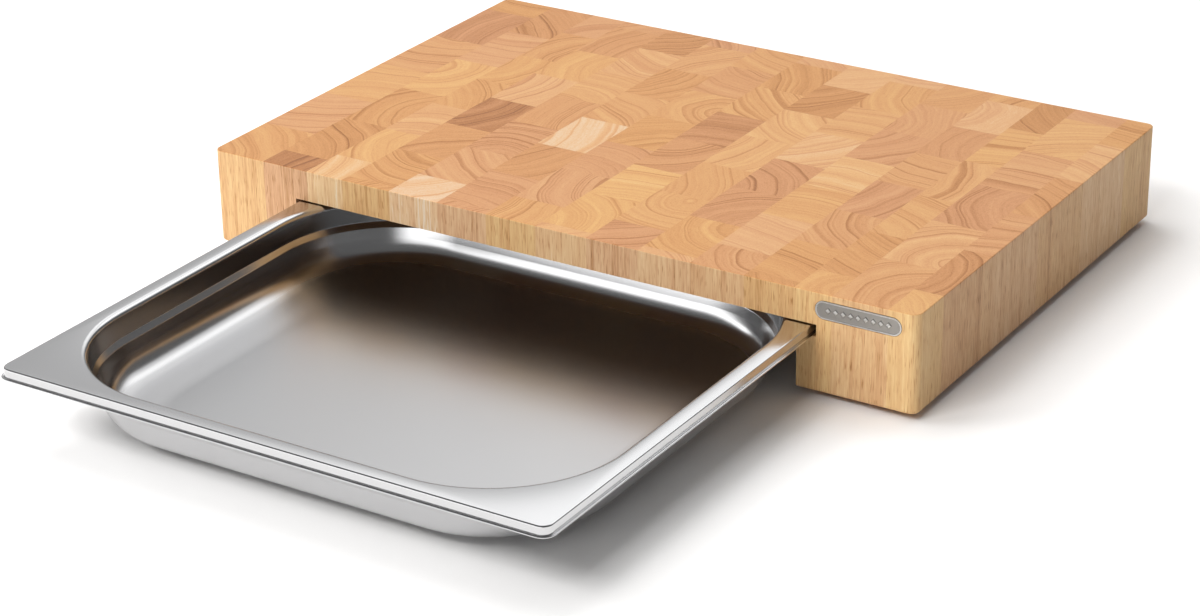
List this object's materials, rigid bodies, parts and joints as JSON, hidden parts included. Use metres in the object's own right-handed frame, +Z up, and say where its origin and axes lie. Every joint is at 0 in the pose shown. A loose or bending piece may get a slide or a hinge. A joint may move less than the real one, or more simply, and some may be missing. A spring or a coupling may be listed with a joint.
{
  "type": "cutting board with drawer tray",
  "caption": "End-grain wooden cutting board on rubber feet, with a shallow stainless steel catch tray that slides out of a channel beneath it.",
  "frame": {"origin": "middle of the board's footprint, on the plane that the rubber feet stand on", "axes": "+Z up, +X to the right along the long front edge, -Y the way the tray pulls out"},
  "size_m": [0.48, 0.594, 0.0645],
  "materials": {
    "wood": "oiled end grain, satin",
    "tray_steel": "pressed stainless steel, satin floor and bright rim",
    "badge_metal": "cast plate, antique nickel",
    "screw_steel": "bright zinc",
    "rubber": "matt moulded rubber"
  },
  "bodies": {
    "board": {"wood_strip_01": "wood", "wood_strip_02": "wood", "wood_strip_03": "wood", "wood_strip_04": "wood", "wood_strip_05": "wood", "wood_strip_06": "wood", "wood_strip_07": "wood", "wood_strip_08": "wood", "wood_strip_09": "wood", "wood_strip_10": "wood", "wood_strip_11": "wood", "wood_strip_12": "wood", "wood_strip_13": "wood", "wood_strip_14": "wood", "wood_strip_15": "wood", "foot_front_left": "rubber", "foot_front_right": "rubber", "foot_rear_left": "rubber", "foot_rear_right": "rubber", "foot_screws": "screw_steel", "badge": "badge_metal"},
    "tray": {"tray": "tray_steel"}
  },
  "joints": [
    {"name": "tray_slide", "type": "slide", "parent": "board", "child": "tray", "axis": [0, -1, 0], "range_m": [-0.269, 0.061]}
  ]
}
